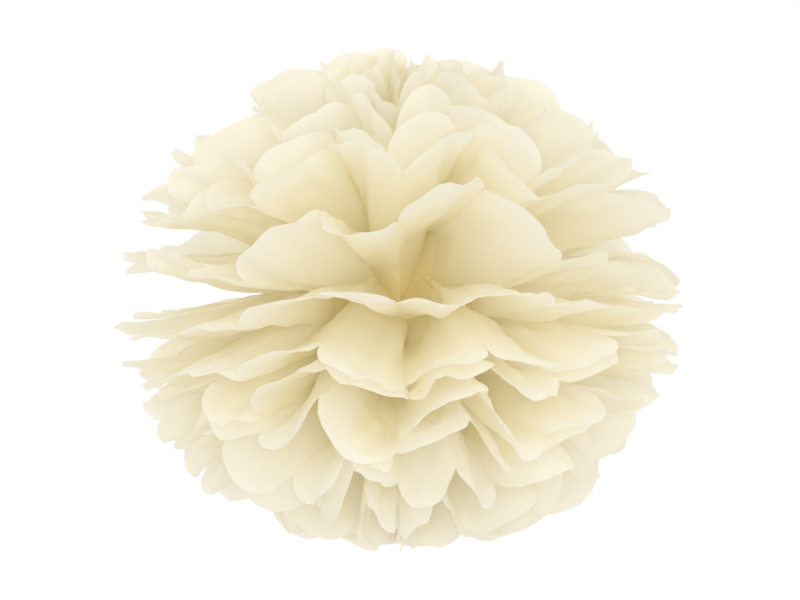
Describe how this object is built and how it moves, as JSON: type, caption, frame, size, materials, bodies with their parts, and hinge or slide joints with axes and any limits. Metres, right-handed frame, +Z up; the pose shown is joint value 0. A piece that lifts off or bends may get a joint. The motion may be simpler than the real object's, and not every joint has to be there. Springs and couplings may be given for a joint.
{
  "type": "tissue paper pom pom",
  "caption": "Hanging ball decoration of pleated tissue paper sheets gathered by a wire tie at the waist and fluffed into rounded petals.",
  "frame": {"origin": "middle of the wire tie at the waist, which is the middle of the ball and where a hanging cord is tied on", "axes": "+Z runs up the pole, from the sheets drawn down to the sheets drawn up; the creases run along Y through the waist, so the half-fans open towards -Y and +Y; X runs along the side slits"},
  "size_m": [0.3396, 0.3348, 0.2986],
  "materials": {
    "cream_tissue": "matte, thin and translucent, soft and lightly crumpled",
    "tie_steel": "plain soft steel wire, satin"
  },
  "bodies": {
    "root": {"sheet_01_upper": "cream_tissue", "sheet_02_upper": "cream_tissue", "sheet_03_upper": "cream_tissue", "sheet_04_upper": "cream_tissue", "sheet_05_upper": "cream_tissue", "sheet_06_upper": "cream_tissue", "sheet_07_upper": "cream_tissue", "sheet_08_lower": "cream_tissue", "sheet_09_lower": "cream_tissue", "sheet_10_lower": "cream_tissue", "sheet_11_lower": "cream_tissue", "sheet_12_lower": "cream_tissue", "sheet_13_lower": "cream_tissue", "sheet_14_lower": "cream_tissue", "tie_wire": "tie_steel"}
  },
  "joints": []
}
